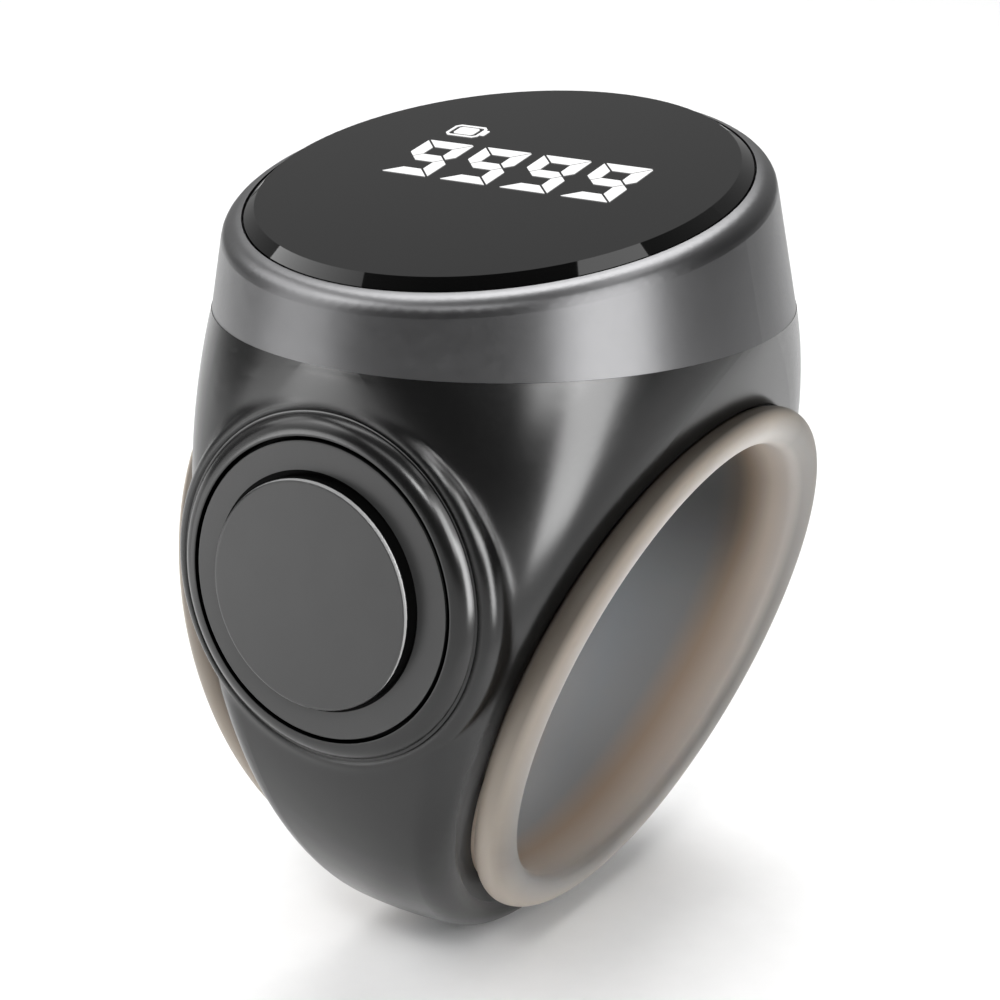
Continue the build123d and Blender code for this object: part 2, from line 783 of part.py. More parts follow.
flex_plane = Plane(origin=button_plane.origin, x_dir=button_plane.z_dir, z_dir=(-1, 0, 0))
flex_middle = switch_base + flex_thickness / 2
flex_depth = board_base + connector_height + flex_thickness / 2
flex_route = [(-flex_middle, -flex_tail), (-flex_middle, flex_rise)]
for landing in (connector_y - connector_width, connector_y + connector_width / 2):
    spot = flex_plane.to_local_coords(display_plane.from_local_coords(Vector(0, landing, -flex_depth)))
    flex_route.append((spot.X, spot.Y))
with BuildPart() as switch_flex:
    with BuildSketch(flex_plane):
        with BuildLine() as flex_line:
            FilletPolyline(*flex_route, radius=flex_bend)
        trace(flex_line.line, flex_thickness)
    extrude(amount=flex_width / 2, both=True)
switch_flex.part.label = "switch_flex"
export_step(switch_flex.part, "parts/switch_flex.step")
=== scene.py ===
# %% [markdown]
# # A finger ring tally counter
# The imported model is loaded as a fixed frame, in metres, with its origin in the middle of the finger bore.
# Hard pieces keep their exact shapes and only get a finish. The soft liner, the button's collar and the lit
# digits are modelled here.

import json
import math

import bpy
from mathutils import Matrix, Vector

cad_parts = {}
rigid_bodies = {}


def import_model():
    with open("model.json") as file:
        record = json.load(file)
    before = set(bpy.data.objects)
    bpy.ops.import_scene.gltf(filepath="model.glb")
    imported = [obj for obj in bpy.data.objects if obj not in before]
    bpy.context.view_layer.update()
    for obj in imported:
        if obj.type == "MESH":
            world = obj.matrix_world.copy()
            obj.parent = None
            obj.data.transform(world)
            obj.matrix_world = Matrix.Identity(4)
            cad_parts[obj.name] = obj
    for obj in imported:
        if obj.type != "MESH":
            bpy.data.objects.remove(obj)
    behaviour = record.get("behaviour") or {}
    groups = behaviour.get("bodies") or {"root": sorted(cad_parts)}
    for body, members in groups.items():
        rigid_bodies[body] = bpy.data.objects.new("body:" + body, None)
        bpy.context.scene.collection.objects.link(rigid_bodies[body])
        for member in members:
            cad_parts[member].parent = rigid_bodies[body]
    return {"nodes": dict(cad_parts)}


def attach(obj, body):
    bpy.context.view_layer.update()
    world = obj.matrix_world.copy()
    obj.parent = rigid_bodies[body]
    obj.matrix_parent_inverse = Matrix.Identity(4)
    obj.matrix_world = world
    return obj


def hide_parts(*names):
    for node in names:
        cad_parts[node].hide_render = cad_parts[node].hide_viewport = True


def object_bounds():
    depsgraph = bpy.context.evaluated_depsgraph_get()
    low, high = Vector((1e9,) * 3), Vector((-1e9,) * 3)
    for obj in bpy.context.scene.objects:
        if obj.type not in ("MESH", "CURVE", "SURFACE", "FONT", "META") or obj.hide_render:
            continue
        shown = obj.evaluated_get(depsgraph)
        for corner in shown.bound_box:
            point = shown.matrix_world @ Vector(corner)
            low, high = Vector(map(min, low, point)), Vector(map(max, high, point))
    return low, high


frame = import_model()
cad_box = [list(corner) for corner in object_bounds()]
mm = 0.001
nodes = frame["nodes"]
print("nodes:", len(nodes), "box:", cad_box)

# %% [markdown]
# ## Colours and nodes
# Colours are written as the sRGB hex values that the eye would match, and Blender wants linear light.
# One small helper adds a shader node, sets its values and links it, so that each finish reads as a list of
# steps. A Mix node repeats its socket names for numbers, vectors and colours, so its sockets are picked by
# number, and those numbers get names here.

# %% Colour and node helpers
mix_by, number_a, number_b, vector_a, vector_b, colour_a, colour_b = 0, 2, 3, 4, 5, 6, 7
mixed_number, mixed_vector, mixed_colour = 0, 1, 2


def linear(hex_colour):
    """Linear RGBA of an sRGB hex colour."""
    parts = [int(hex_colour[i:i + 2], 16) / 255 for i in (1, 3, 5)]
    return [p / 12.92 if p <= 0.04045 else ((p + 0.055) / 1.055) ** 2.4 for p in parts] + [1.0]


def add_node(tree, kind, settings=(), values=(), links=()):
    """Adds one node with its settings, socket values and incoming links."""
    made = tree.nodes.new(kind)
    for key, value in dict(settings).items():
        setattr(made, key, value)
    for key, value in dict(values).items():
        made.inputs[key].default_value = value
    for key, (source, output) in dict(links).items():
        tree.links.new(source.outputs[output], made.inputs[key])
    return made


def find_node(tree, kind):
    """The first node of a kind in a tree."""
    return next(node for node in tree.nodes if node.bl_idname == kind)


def new_material(name):
    """Empty node material, with its tree and the node that its surface ends in."""
    material = bpy.data.materials.new(name)
    material.use_nodes = True
    tree = material.node_tree
    tree.nodes.clear()
    return material, tree, tree.nodes.new("ShaderNodeOutputMaterial")


print("linear mid grey:", [round(c, 3) for c in linear("#808080")])

# %% [markdown]
# ## Moulded and machined finishes
# Most pieces are one material whose grain varies a little: a pigment that clouds, a roughness that follows
# the grain, and a very shallow bump. The grain's size is a real one in millimetres. Grain finer than a pixel
# is drawn at about 0.15 mm, because it would not show otherwise.

# %% Grained finish
cloud_grains = 12
grain_depth = 0.02 * mm
# Near that of most plastics, and Blender's default, which a metal keeps
usual_ior = 1.5


def grained(name, dark, light, grain, rough, bump, metallic=0.0):
    """A finish with grain of the given size in mm and a roughness that runs between two values."""
    material, tree, out = new_material(name)
    place = add_node(tree, "ShaderNodeTexCoord")
    fine = add_node(tree, "ShaderNodeTexNoise", values={"Scale": 1 / (grain * mm), "Detail": 3.0},
                    links={"Vector": (place, "Object")})
    cloud = add_node(tree, "ShaderNodeTexNoise",
                     values={"Scale": 1 / (cloud_grains * grain * mm), "Detail": 2.0},
                     links={"Vector": (place, "Object")})
    tint = add_node(tree, "ShaderNodeMix", {"data_type": "RGBA"},
                    {colour_a: linear(dark), colour_b: linear(light)}, {mix_by: (cloud, "Fac")})
    gloss = add_node(tree, "ShaderNodeMapRange", values={"To Min": rough[0], "To Max": rough[1]},
                     links={"Value": (fine, "Fac")})
    relief = add_node(tree, "ShaderNodeBump", values={"Strength": bump, "Distance": grain_depth},
                      links={"Height": (fine, "Fac")})
    skin = add_node(tree, "ShaderNodeBsdfPrincipled", values={"Metallic": metallic, "IOR": usual_ior},
                    links={"Base Color": (tint, mixed_colour), "Roughness": (gloss, "Result"),
                           "Normal": (relief, "Normal")})
    tree.links.new(skin.outputs["BSDF"], out.inputs["Surface"])
    return material


print("one pigment cloud is", cloud_grains, "grains across")

# %% Finishes outside
# Lacquered ABS: nearly black, with soft wide reflections
lacquered_abs = grained("lacquered_black_abs", "#060606", "#0a0a0a", 0.15, (0.2, 0.26), 0.03)
# Anodised aluminium, bead blasted: grey metal with a satin sheen
anodised_aluminium = grained("anodised_gunmetal_aluminium", "#747475", "#7b7b7c", 0.15, (0.3, 0.38), 0.05,
                             metallic=1.0)
# Smoked acrylic, polished: black mirror that hides what is under it until that is lit
smoked_acrylic = grained("smoked_acrylic", "#040404", "#060606", 0.4, (0.02, 0.04), 0.0)
# Spark-eroded ABS of the button: dark grey and dull
textured_abs = grained("textured_grey_abs", "#292929", "#2e2e2e", 0.15, (0.3, 0.38), 0.1)
# Moulded gloss ABS of the collar: black, with the same soft shine as the lacquer that it runs into
gloss_abs = grained("gloss_black_abs", "#060606", "#0a0a0a", 0.15, (0.2, 0.26), 0.03)
finishes = {"body_shell": lacquered_abs, "top_bezel": anodised_aluminium, "display_lens": smoked_acrylic,
            "button_cap": textured_abs, "button_collar": gloss_abs}
print("finishes outside:", [material.name for material in finishes.values()])

# %% [markdown]
# ## Button mound
# The mound round the button flows into the body on the real ring. The Bevel node bends the normals across a
# crease, so it rounds that meeting line in the shading. It is held close to the button's axis, so the other
# edges stay crisp.

# %% Mound blended into the body
button_centre, button_lean = (0, -13.475 * mm, 6.02 * mm), 3.1
button_turn = (math.radians(90 - button_lean), 0, 0)
blend_radius, blend_reach, blend_end = 0.6 * mm, 8.5 * mm, 9.0 * mm


def button_radius(tree, place, shift=(0.0, 0.0)):
    """Node with each point's distance from the button's axis, or from that axis shifted along X and Z."""
    centre = [c + s * mm for c, s in zip(button_centre, (shift[0], 0.0, shift[1]))]
    local = add_node(tree, "ShaderNodeMapping", {"vector_type": "TEXTURE"},
                     {"Location": centre, "Rotation": button_turn}, {"Vector": (place, "Object")})
    axes = add_node(tree, "ShaderNodeSeparateXYZ", links={"Vector": (local, "Vector")})
    flat = add_node(tree, "ShaderNodeCombineXYZ", links={"X": (axes, "X"), "Y": (axes, "Y")})
    return add_node(tree, "ShaderNodeVectorMath", {"operation": "LENGTH"}, links={0: (flat, "Vector")})


tree = lacquered_abs.node_tree
radius = button_radius(tree, find_node(tree, "ShaderNodeTexCoord"))
near = add_node(tree, "ShaderNodeMapRange", values={"From Min": blend_end, "From Max": blend_reach},
                links={"Value": (radius, "Value")})
rounded = add_node(tree, "ShaderNodeBevel", {"samples": 8}, {"Radius": blend_radius})
plain = add_node(tree, "ShaderNodeNewGeometry")
blend = add_node(tree, "ShaderNodeMix", {"data_type": "VECTOR"},
                 links={mix_by: (near, "Result"), vector_a: (plain, "Normal"), vector_b: (rounded, "Normal")})
tree.links.new(blend.outputs[mixed_vector], find_node(tree, "ShaderNodeBump").inputs["Normal"])
print("mound blended out to", round(blend_end / mm, 2), "mm from the button's axis")

# %% [markdown]
# ## Painted shade, highlight and reflection
# The gap round the cap and the foot of its raised disc lie in deep shade, so rings there are painted nearly
# black, with hardly any shine, as painted shade. A ring lies between two circles, and shifting one of them
# makes it a crescent. A painted highlight runs pale along the disc's edge on its upper right, and beside the
# lower part of each lip the lacquer is painted grey and dull, as a painted reflection. All of it is laid over
# the finish that is already there.

# %% Painted rings
plain_shine = 0.5
deep_shade = ("#020202", 0.03)
disc_radius = 4.72


def overlay(material, mask, colour, shine):
    """Lays a colour and a shine over a finish wherever the mask node gives one."""
    tree = material.node_tree
    skin = find_node(tree, "ShaderNodeBsdfPrincipled")
    base, level = skin.inputs["Base Color"], skin.inputs["Specular IOR Level"]
    coat = add_node(tree, "ShaderNodeMix", {"data_type": "RGBA"}, {colour_b: linear(colour)},
                    {mix_by: (mask, "Value")})
    gloss = add_node(tree, "ShaderNodeMix", {"data_type": "FLOAT"}, {number_a: plain_shine, number_b: shine},
                     {mix_by: (mask, "Value")})
    tree.links.new(base.links[0].from_socket, coat.inputs[colour_a])
    if level.links:
        tree.links.new(level.links[0].from_socket, gloss.inputs[number_a])
    tree.links.new(coat.outputs[mixed_colour], base)
    tree.links.new(gloss.outputs[mixed_number], level)


def paint_ring(material, colour, shine, inner, outside, inner_shift=(0.0, 0.0), outer_shift=(0.0, 0.0)):
    """Paints a ring round the button's axis. The radii and the shifts of its two circles are in mm."""
    tree = material.node_tree
    place = find_node(tree, "ShaderNodeTexCoord")
    past = add_node(tree, "ShaderNodeMath", {"operation": "GREATER_THAN"}, {1: inner * mm},
                    {0: (button_radius(tree, place, inner_shift), "Value")})
    within = add_node(tree, "ShaderNodeMath", {"operation": "LESS_THAN"}, {1: outside * mm},
                      {0: (button_radius(tree, place, outer_shift), "Value")})
    ring = add_node(tree, "ShaderNodeMath", {"operation": "MULTIPLY"},
                    links={0: (past, "Value"), 1: (within, "Value")})
    overlay(material, ring, colour, shine)


# Painted shade at the foot of the disc, widest on the left, then in the gap round the cap on both of its sides
paint_ring(textured_abs, *deep_shade, inner=disc_radius, outside=4.95, outer_shift=(-0.16, -0.05))
paint_ring(textured_abs, *deep_shade, inner=6.09, outside=6.6)
paint_ring(gloss_abs, *deep_shade, inner=6.0, outside=6.28)
# Painted highlight: the disc's edge is painted pale on its upper right
paint_ring(textured_abs, "#6c6c6c", plain_shine, disc_radius, disc_radius, inner_shift=(-0.075, -0.08))
print("rings painted on the cap and the collar")

# %% Painted reflection beside the lips
# Painted reflection: beside the lower part of each lip the lacquer is painted grey and made dull, in place of
# the dark band that its mirroring of the lip's shaded back would give
reflection_end, reflection_full = 12.3 * mm, 11.8 * mm
reflection_top, reflection_low = 3 * mm, -3 * mm


def bore_radius(tree, axes):
    """Node with each point's distance from the axis of the finger bore."""
    flat = add_node(tree, "ShaderNodeCombineXYZ", links={"Y": (axes, "Y"), "Z": (axes, "Z")})
    return add_node(tree, "ShaderNodeVectorMath", {"operation": "LENGTH"}, links={0: (flat, "Vector")})


tree = lacquered_abs.node_tree
place = find_node(tree, "ShaderNodeTexCoord")
axes = add_node(tree, "ShaderNodeSeparateXYZ", links={"Vector": (place, "Object")})
beside = add_node(tree, "ShaderNodeMapRange", values={"From Min": reflection_end, "From Max": reflection_full},
                  links={"Value": (bore_radius(tree, axes), "Value")})
low = add_node(tree, "ShaderNodeMapRange", values={"From Min": reflection_top, "From Max": reflection_low},
               links={"Value": (axes, "Z")})
painted_reflection = add_node(tree, "ShaderNodeMath", {"operation": "MULTIPLY"},
                  links={0: (beside, "Result"), 1: (low, "Result")})
overlay(lacquered_abs, painted_reflection, "#404040", 0.05)
print("lacquer rubbed dull out to", round(reflection_end / mm, 2), "mm from the bore's axis")

# %% [markdown]
# ## Pieces inside
# The display, the battery, the switch and their fixings show only when the counter is taken apart. Each still
# gets the finish of its real material, and pieces of one material share it.

# %% Finishes inside
finishes_inside = {
    # Moulded nitrile rubber: black and dull
    ("moulded_black_nitrile", "#121212", "#1b1b1b", 0.15, (0.6, 0.75), 0.2):
        ("bezel_seal", "button_gasket"),
    # Cured acrylic glue: pale, with a wet look
    ("cured_acrylic_glue", "#b9bab4", "#c9cac4", 0.2, (0.2, 0.3), 0.05): ("lens_adhesive",),
    # Moulded polycarbonate: black, so that no light leaks between the segments
    ("moulded_black_polycarbonate", "#151516", "#1d1d1e", 0.15, (0.4, 0.5), 0.1):
        ("digit_reflector", "switch_body"),
    # Polycarbonate with a white filler: milky and smooth
    ("milky_polycarbonate", "#dfe0dc", "#eff0ec", 0.2, (0.3, 0.4), 0.05): ("segment_diffusers",),
    # Printed solder mask on glass laminate: green, glossy and slightly uneven
    ("green_solder_mask", "#0f3d24", "#165132", 0.3, (0.25, 0.4), 0.2): ("display_board",),
    # Phosphor cast over the light chips: yellow and matt
    ("yellow_phosphor", "#d8b23a", "#e6c456", 0.15, (0.4, 0.6), 0.1): ("led_chips",),
    # Moulded nylon with glass fibre: grey, with a dry surface
    ("glass_filled_nylon", "#4a4c4e", "#5c5e60", 0.2, (0.45, 0.6), 0.2): ("board_frame",),
    # Zinc plate on steel: bright grey metal
    ("zinc_plated_steel", "#b4b6b8", "#c8cacc", 0.15, (0.2, 0.35), 0.1, 1.0):
        ("frame_screws", "vibration_motor"),
    # Moulded epoxy of the chips: black and matt
    ("epoxy_chip_moulding", "#161718", "#222325", 0.15, (0.5, 0.65), 0.2):
        ("controller_chip", "charger_chip"),
    # Fired ceramic: brown and smooth
    ("fired_ceramic", "#8a7355", "#9d8566", 0.15, (0.35, 0.5), 0.1): ("board_passives",),
    # Moulded nylon without pigment: cream
    ("cream_nylon", "#cfc6ae", "#ded6c0", 0.15, (0.4, 0.55), 0.1): ("flex_connector",),
    # Acrylic foam: grey, matt and open
    ("grey_acrylic_foam", "#55575a", "#6d6f72", 0.25, (0.8, 0.95), 0.5): ("battery_pad", "motor_pad"),
    # Laminated aluminium foil: silver, and creased all over
    ("laminated_pouch_foil", "#aeb1b4", "#c3c6c8", 0.5, (0.25, 0.45), 0.4, 1.0): ("battery",),
    # Gold plate on brass: warm and bright
    ("gold_plated_brass", "#d9a441", "#e8bb62", 0.15, (0.15, 0.28), 0.05, 1.0): ("charge_contacts",),
    # Moulded acetal: white, with a waxy shine
    ("white_acetal", "#d6d7d6", "#e6e7e6", 0.15, (0.35, 0.45), 0.05): ("switch_plunger",),
    # Polyimide film: amber and glossy
    ("amber_polyimide", "#8f4d12", "#a9621e", 0.3, (0.25, 0.35), 0.05): ("switch_flex",),
}
for look, names in finishes_inside.items():
    finishes.update(dict.fromkeys(names, grained(*look)))
for name, material in finishes.items():
    for holder in nodes[name].material_slots:
        holder.material = material
print("finished nodes:", len(finishes))

# %% [markdown]
# ## Silicone liner
# The sleeve is cast in milky silicone, with a round bead at each lip. Three quarters of a circle make the
# bead's section. A mirrored copy makes the other lip, two edges join them, and a spin about the bore turns
# the section into the sleeve. The lips lean outwards with height, so the points then slide along the bore by
# the height that they are at.

# %% Editing helpers
hair = 0.001 * mm


def start_edit(select_mode):
    """Deselects the scene and goes into edit mode on the object that was just added."""
    piece = bpy.context.object
    for other in bpy.data.objects:
        other.select_set(other == piece)
    bpy.ops.object.mode_set(mode="EDIT")
    bpy.ops.mesh.select_mode(type=select_mode)
    return piece


def pick(piece, test):
    """Selects the points that pass the test, and nothing else."""
    bpy.ops.mesh.select_all(action="DESELECT")
    bpy.ops.object.mode_set(mode="OBJECT")
    for point in piece.data.vertices:
        point.select = test(point.co)
    bpy.ops.object.mode_set(mode="EDIT")


def spin_round(axis, steps):
    """Spins a whole section into a closed ring with its faces outwards, and leaves edit mode."""
    bpy.ops.mesh.select_all(action="SELECT")
    bpy.ops.mesh.spin(steps=steps, angle=math.tau, center=(0, 0, 0), axis=axis)
    bpy.ops.mesh.select_all(action="SELECT")
    bpy.ops.mesh.remove_doubles(threshold=hair)
    bpy.ops.mesh.normals_make_consistent(inside=False)
    bpy.ops.object.mode_set(mode="OBJECT")


print("points merge within", hair / mm, "mm")

# %% Liner section
bead_radius, lip_circle, lip_half_width = 0.84 * mm, 10.89 * mm, 7.56 * mm
wall_end = lip_half_width - bead_radius
bead_points, bore_cuts = 48, 14

bpy.ops.object.select_all(action="DESELECT")
bpy.ops.mesh.primitive_circle_add(vertices=bead_points, radius=bead_radius, rotation=(math.pi / 2, 0, 0),
                                  location=(lip_half_width, 0, lip_circle))
bpy.ops.object.transform_apply(location=True, rotation=True, scale=True)
liner = start_edit("VERT")
liner.name = liner.data.name = "silicone_liner"
# The quarter of the bead that lies inside the wall
pick(liner, lambda c: c.x < lip_half_width - hair and c.z < lip_circle - hair)
bpy.ops.mesh.delete(type="VERT")
bpy.ops.mesh.select_all(action="SELECT")
bpy.ops.mesh.duplicate()
bpy.ops.transform.resize(value=(-1, 1, 1), center_override=(0, 0, 0))
# The bore's edge from bead to bead, then the edge at the back of the wall
pick(liner, lambda c: c.z < lip_circle - bead_radius + hair)
bpy.ops.mesh.edge_face_add()
bpy.ops.mesh.subdivide(number_cuts=bore_cuts)
pick(liner, lambda c: abs(abs(c.x) - wall_end) < hair)
bpy.ops.mesh.edge_face_add()
print("section points:", len(liner.data.vertices))

# %% Liner spun and slanted
side_slope = 0.33691
liner_steps, liner_smooth = 180, 40

spin_round((1, 0, 0), liner_steps)
for point in liner.data.vertices:
    lean = max(-1.0, min(1.0, point.co.x / wall_end))
    point.co.x += lean * side_slope * point.co.z
bpy.ops.object.shade_smooth_by_angle(angle=math.radians(liner_smooth))
print("liner faces:", len(liner.data.polygons), "box:", [round(v / mm, 2) for v in liner.dimensions])

# %% [markdown]
# ## Silicone
# Cast silicone is pale and waxy, with light under its skin. The lips are warm and bright with painted light,
# and the middle of the bore is dark and bluish with painted shade, most of all towards the head. A colour ramp
# runs along the bore, and its brightness depends on the height, as painted shade and painted light.

# %% Silicone colour along the bore
# The zones start and are full at these shares of the way from the bore's middle to the lip's face
lip_face = lip_half_width + bead_radius
skin_start, skin_full = 0.62, 0.82
bead_start, bead_full = 0.93, 0.975
# Painted shade makes the middle of the bore dark and bluish, and painted light makes the skin near the lips
# pale and warm
stops = [(0.0, "#a5abb0"), (0.5, "#a9aaab"), (0.68, "#cbb49d"), (0.84, "#eee0d2"), (bead_start, "#f2eae2"),
         (bead_full, "#aeaaa5")]

silicone, tree, out = new_material("cast_milky_silicone")
place = add_node(tree, "ShaderNodeTexCoord")
axes = add_node(tree, "ShaderNodeSeparateXYZ", links={"Vector": (place, "Object")})
across = add_node(tree, "ShaderNodeMath", {"operation": "ABSOLUTE"}, links={0: (axes, "X")})
leaned = add_node(tree, "ShaderNodeMath", {"operation": "MULTIPLY_ADD"}, {1: -side_slope},
                  {0: (axes, "Z"), 2: (across, "Value")})
depth = add_node(tree, "ShaderNodeMapRange", values={"From Min": 0.0, "From Max": lip_face},
                 links={"Value": (leaned, "Value")})
shade = add_node(tree, "ShaderNodeValToRGB", links={"Fac": (depth, "Result")})
while len(shade.color_ramp.elements) < len(stops):
    shade.color_ramp.elements.new(0.5)
for element, (spot, colour) in zip(shade.color_ramp.elements, stops):
    element.position, element.color = spot, linear(colour)
print("silicone stops:", len(shade.color_ramp.elements))

# %% Silicone brightness by height
# Painted shade and painted light by height: the bore and the skin darken towards the head, the bead lightens
# towards its top and its underside lightens downwards, and the bead's rear is held at one level
# For each part of the liner: the heights in mm between which it changes, and its level at both
levels = {"bore": (-6.5, 5.0, 1.0, 0.16), "skin": (-6.0, 6.0, 1.0, 0.5), "bead": (-5.0, 11.0, 0.65, 1.6),
          "underside": (-6.0, -11.0, 0.0, 0.55)}
rear_start, rear_full, rear_level = 1.5 * mm, 5.0 * mm, 0.8

at_height = {}
for part, (start, end, first_level, last_level) in levels.items():
    change = "SMOOTHSTEP" if part == "bore" else "LINEAR"
    at_height[part] = add_node(tree, "ShaderNodeMapRange", {"interpolation_type": change},
                               {"From Min": start * mm, "From Max": end * mm, "To Min": first_level,
                                "To Max": last_level}, {"Value": (axes, "Z")})
rear = add_node(tree, "ShaderNodeMapRange", values={"From Min": rear_start, "From Max": rear_full},
                links={"Value": (axes, "Y")})
round_bead = add_node(tree, "ShaderNodeMix", {"data_type": "FLOAT"}, {number_b: rear_level},
                      {mix_by: (rear, "Result"), number_a: (at_height["bead"], "Result")})
in_bead = add_node(tree, "ShaderNodeMath", {"operation": "ADD"},
                   links={0: (round_bead, mixed_number), 1: (at_height["underside"], "Result")})
print("silicone parts:", list(at_height))

# %% Silicone zones joined
# Painted shade darkens the bead's outer side, where it lies against the body, and its rim is tinted warm
back_start, back_full, back_level = 10.4 * mm, 10.9 * mm, 0.7
warm_start, warm_full, warm_share = 10.7 * mm, 11.6 * mm, 0.75

away = bore_radius(tree, axes)
outside = add_node(tree, "ShaderNodeMapRange",
                   values={"From Min": back_start, "From Max": back_full, "To Min": 1.0,
                           "To Max": back_level}, links={"Value": (away, "Value")})
lit_skin = add_node(tree, "ShaderNodeMath", {"operation": "MULTIPLY"},
                    links={0: (at_height["skin"], "Result"), 1: (outside, "Result")})
skin_zone = add_node(tree, "ShaderNodeMapRange", values={"From Min": skin_start, "From Max": skin_full},
                     links={"Value": (depth, "Result")})
bead_zone = add_node(tree, "ShaderNodeMapRange", values={"From Min": bead_start, "From Max": bead_full},
                     links={"Value": (depth, "Result")})
inner = add_node(tree, "ShaderNodeMix", {"data_type": "FLOAT"},
                 links={mix_by: (skin_zone, "Result"), number_a: (at_height["bore"], "Result"),
                        number_b: (lit_skin, "Value")})
level = add_node(tree, "ShaderNodeMix", {"data_type": "FLOAT"},
                 links={mix_by: (bead_zone, "Result"), number_a: (inner, mixed_number),
                        number_b: (in_bead, "Value")})
warmth = add_node(tree, "ShaderNodeMapRange",
                  values={"From Min": warm_start, "From Max": warm_full, "To Max": warm_share},
                  links={"Value": (away, "Value")})
warm = add_node(tree, "ShaderNodeMix", {"data_type": "RGBA"}, {colour_b: linear("#b4a797")},
                {mix_by: (warmth, "Result"), colour_a: (shade, "Color")})
tone = add_node(tree, "ShaderNodeVectorMath", {"operation": "SCALE"},
                links={0: (warm, mixed_colour), "Scale": (level, mixed_number)})
print("bead from", bead_start, "of the way out to the lip's face")

# %% Silicone surface
silicone_cloud, silicone_grit = 2.5 * mm, 0.2 * mm
silicone_ior, light_depth = 1.41, 0.6 * mm

cloud = add_node(tree, "ShaderNodeTexNoise", values={"Scale": 1 / silicone_cloud, "Detail": 2.0},
                 links={"Vector": (place, "Object")})
gloss = add_node(tree, "ShaderNodeMapRange", values={"To Min": 0.38, "To Max": 0.5},
                 links={"Value": (cloud, "Fac")})
grit = add_node(tree, "ShaderNodeTexNoise", values={"Scale": 1 / silicone_grit, "Detail": 2.0},
                links={"Vector": (place, "Object")})
relief = add_node(tree, "ShaderNodeBump", values={"Strength": 0.06, "Distance": grain_depth},
                  links={"Height": (grit, "Fac")})
skin = add_node(tree, "ShaderNodeBsdfPrincipled",
                values={"IOR": silicone_ior, "Subsurface Weight": 0.25, "Subsurface Scale": light_depth,
                        "Subsurface Radius": (1.0, 0.8, 0.6)},
                links={"Base Color": (tone, "Vector"), "Roughness": (gloss, "Result"),
                       "Normal": (relief, "Normal")})
tree.links.new(skin.outputs["BSDF"], out.inputs["Surface"])
liner.data.materials.append(silicone)
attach(liner, "ring")
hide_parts("finger_liner")
print("silicone nodes:", len(tree.nodes))

# %% [markdown]
# ## Button collar
# The collar keeps the cap in, and on the real ring it runs into the mound round it with no open joint. Its
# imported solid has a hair-wide gap there, so the collar is modelled again, up to the mound. Its section starts
# as a circle whose points are moved to the section's corners, and a spin about the button's axis turns it
# into the ring.

# %% Collar section
collar_bore, collar_outside, collar_edge = 6.25 * mm, 7.195 * mm, 0.85 * mm
collar_depth, mound_depth = 1.3 * mm, 0.555 * mm
lead_in, lead_step = 0.05 * mm, 0.015 * mm
edge_reach, edge_sweep, edge_steps = 7.15 * mm, 68, 14
edge_out, edge_up = edge_reach - collar_edge, -collar_edge
foot = [(7.12 * mm, -0.548 * mm), (7.155 * mm, -mound_depth)]

# From the bore over the rounded edge to the mound, as distances from the axis and heights
section = [(collar_bore, -collar_depth), (collar_bore, -lead_in), (collar_bore + lead_step, -lead_step)]
for step in range(edge_steps + 1):
    turn = math.radians(90 - step * edge_sweep / edge_steps)
    section.append((edge_out + collar_edge * math.cos(turn), edge_up + collar_edge * math.sin(turn)))
section += foot + [(collar_outside, -mound_depth), (collar_outside, -collar_depth)]
print("collar section points:", len(section))

# %% Collar spun
collar_steps, collar_smooth = 192, 35

bpy.ops.object.select_all(action="DESELECT")
bpy.ops.mesh.primitive_circle_add(vertices=len(section), radius=collar_edge)
collar = bpy.context.object
collar.name = collar.data.name = "collar_ring"
for point, (out_by, up_by) in zip(collar.data.vertices, section):
    point.co = (out_by, 0, up_by)
start_edit("VERT")
spin_round((0, 0, 1), collar_steps)
bpy.ops.object.shade_smooth_by_angle(angle=math.radians(collar_smooth))
collar.data.transform(Matrix.Translation(button_centre) @ Matrix.Rotation(button_turn[0], 4, "X"))
collar.data.materials.append(gloss_abs)
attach(collar, "ring")
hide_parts("button_collar")
print("collar faces:", len(collar.data.polygons))

# %% [markdown]
# ## Lit digits and charge symbol
# On the real counter the light comes up through the smoked lens, so each lit segment reads as a crisp white
# shape in the lens. A smoked lens that let light through would show noise, so each shape is a thin skin on
# the lens face. Every segment starts as a filled circle with as many corners as the segment, and its corners
# are moved to their places. One digit is modelled and copied at the digit spacing.

# %% Display plane
lens_face, display_offset, display_height = 0.39 * mm, -0.58 * mm, 19.95 * mm
display_tilt = math.radians(10.87)
skin_gap, skin_thickness = 0.01 * mm, 0.02 * mm
stroke = 0.65 * mm
to_display = (Matrix.Translation((0, display_offset, display_height)) @ Matrix.Rotation(display_tilt, 4, "X")
              @ Matrix.Translation((0, 0, lens_face + skin_gap)))


def flat_shape(corners, shift):
    """A filled circle whose corners are moved to the given places, then raised to a thin skin."""
    bpy.ops.object.select_all(action="DESELECT")
    bpy.ops.mesh.primitive_circle_add(vertices=len(corners), radius=stroke, fill_type="NGON")
    piece = bpy.context.object
    for point, corner in zip(piece.data.vertices, corners):
        point.co = (corner[0] + shift[0], corner[1] + shift[1], 0)
    start_edit("FACE")
    bpy.ops.mesh.select_all(action="SELECT")
    bpy.ops.mesh.normals_make_consistent(inside=False)
    bpy.ops.mesh.extrude_region_move(TRANSFORM_OT_translate={"value": (0, 0, skin_thickness)})
    bpy.ops.mesh.select_all(action="SELECT")
    bpy.ops.mesh.normals_make_consistent(inside=False)
    bpy.ops.object.mode_set(mode="OBJECT")
    return piece


